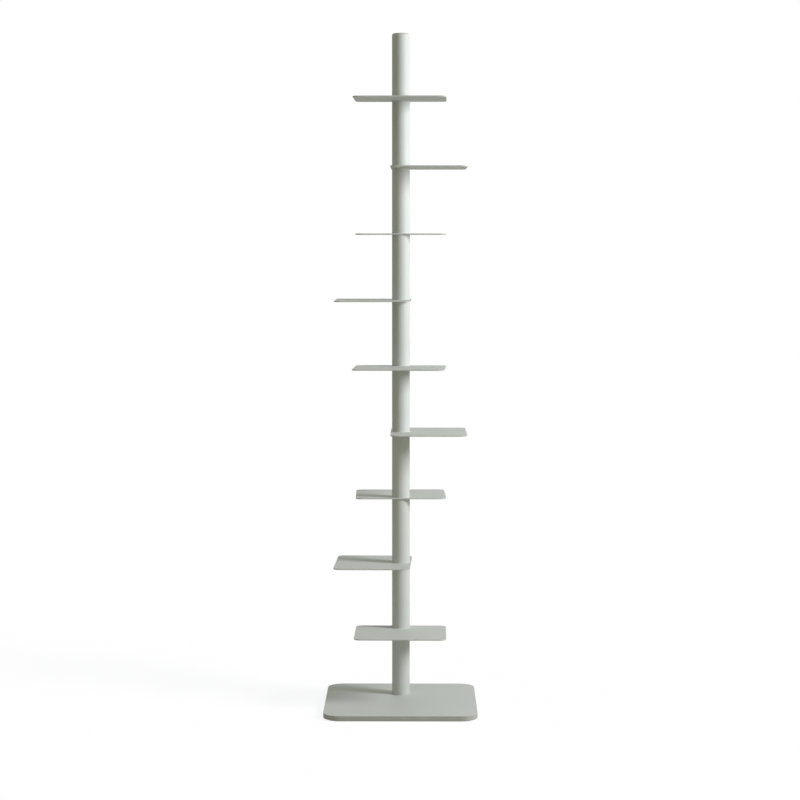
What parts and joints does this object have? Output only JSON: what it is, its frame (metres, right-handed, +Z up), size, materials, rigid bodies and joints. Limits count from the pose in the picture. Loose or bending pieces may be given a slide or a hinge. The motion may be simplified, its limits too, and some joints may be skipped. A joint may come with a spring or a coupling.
{
  "type": "rotating column bookshelf",
  "caption": "Tall round column on a heavy square base plate, with thin rectangular shelf plates one above another that each turn on the column.",
  "frame": {"origin": "on the column's axis, on the floor that the felt mat lies on", "axes": "+Z up the column, -Y to the front (the picture's side, where most of the base plate lies), +X to the right"},
  "size_m": [0.405, 0.4543, 1.804],
  "materials": {
    "powder_coat": "matt fine-textured powder coat",
    "zinc_steel": "bright zinc plated",
    "nylon": "natural moulded nylon",
    "felt": "pressed felt"
  },
  "bodies": {
    "stand": {"base_plate": "powder_coat", "floor_mat": "felt", "base_bolts": "zinc_steel", "mast_foot": "zinc_steel", "mast_lower": "zinc_steel", "mast_joiner": "zinc_steel", "mast_upper": "zinc_steel", "mast_plug": "zinc_steel", "foot_tube": "powder_coat", "foot_ring": "nylon", "foot_washer": "nylon", "top_cap": "powder_coat", "cap_screw": "zinc_steel"},
    "shelf_1": {"shelf_1_plate": "powder_coat", "shelf_1_sleeve": "powder_coat", "shelf_1_lower_bush": "nylon", "shelf_1_upper_bush": "nylon", "shelf_1_washer": "nylon"},
    "shelf_2": {"shelf_2_plate": "powder_coat", "shelf_2_sleeve": "powder_coat", "shelf_2_lower_bush": "nylon", "shelf_2_upper_bush": "nylon", "shelf_2_washer": "nylon"},
    "shelf_3": {"shelf_3_plate": "powder_coat", "shelf_3_sleeve": "powder_coat", "shelf_3_lower_bush": "nylon", "shelf_3_upper_bush": "nylon", "shelf_3_washer": "nylon"},
    "shelf_4": {"shelf_4_plate": "powder_coat", "shelf_4_sleeve": "powder_coat", "shelf_4_lower_bush": "nylon", "shelf_4_upper_bush": "nylon", "shelf_4_washer": "nylon"},
    "shelf_5": {"shelf_5_plate": "powder_coat", "shelf_5_sleeve": "powder_coat", "shelf_5_lower_bush": "nylon", "shelf_5_upper_bush": "nylon", "shelf_5_washer": "nylon"},
    "shelf_6": {"shelf_6_plate": "powder_coat", "shelf_6_sleeve": "powder_coat", "shelf_6_lower_bush": "nylon", "shelf_6_upper_bush": "nylon", "shelf_6_washer": "nylon"},
    "shelf_7": {"shelf_7_plate": "powder_coat", "shelf_7_sleeve": "powder_coat", "shelf_7_lower_bush": "nylon", "shelf_7_upper_bush": "nylon", "shelf_7_washer": "nylon"},
    "shelf_8": {"shelf_8_plate": "powder_coat", "shelf_8_sleeve": "powder_coat", "shelf_8_lower_bush": "nylon", "shelf_8_upper_bush": "nylon", "shelf_8_washer": "nylon"},
    "shelf_9": {"shelf_9_plate": "powder_coat", "shelf_9_sleeve": "powder_coat", "shelf_9_lower_bush": "nylon", "shelf_9_upper_bush": "nylon", "shelf_9_washer": "nylon"}
  },
  "joints": [
    {"name": "shelf_1_turn", "type": "hinge", "parent": "stand", "child": "shelf_1", "pos_m": [0, 0, 1.6264], "axis": [0, 0, 1], "continuous": true},
    {"name": "shelf_2_turn", "type": "hinge", "parent": "stand", "child": "shelf_2", "pos_m": [0, 0, 1.4478], "axis": [0, 0, 1], "continuous": true},
    {"name": "shelf_3_turn", "type": "hinge", "parent": "stand", "child": "shelf_3", "pos_m": [0, 0, 1.2692], "axis": [0, 0, 1], "continuous": true},
    {"name": "shelf_4_turn", "type": "hinge", "parent": "stand", "child": "shelf_4", "pos_m": [0, 0, 1.0906], "axis": [0, 0, 1], "continuous": true},
    {"name": "shelf_5_turn", "type": "hinge", "parent": "stand", "child": "shelf_5", "pos_m": [0, 0, 0.912], "axis": [0, 0, 1], "continuous": true},
    {"name": "shelf_6_turn", "type": "hinge", "parent": "stand", "child": "shelf_6", "pos_m": [0, 0, 0.7334], "axis": [0, 0, 1], "continuous": true},
    {"name": "shelf_7_turn", "type": "hinge", "parent": "stand", "child": "shelf_7", "pos_m": [0, 0, 0.5548], "axis": [0, 0, 1], "continuous": true},
    {"name": "shelf_8_turn", "type": "hinge", "parent": "stand", "child": "shelf_8", "pos_m": [0, 0, 0.3762], "axis": [0, 0, 1], "continuous": true},
    {"name": "shelf_9_turn", "type": "hinge", "parent": "stand", "child": "shelf_9", "pos_m": [0, 0, 0.1976], "axis": [0, 0, 1], "continuous": true}
  ]
}
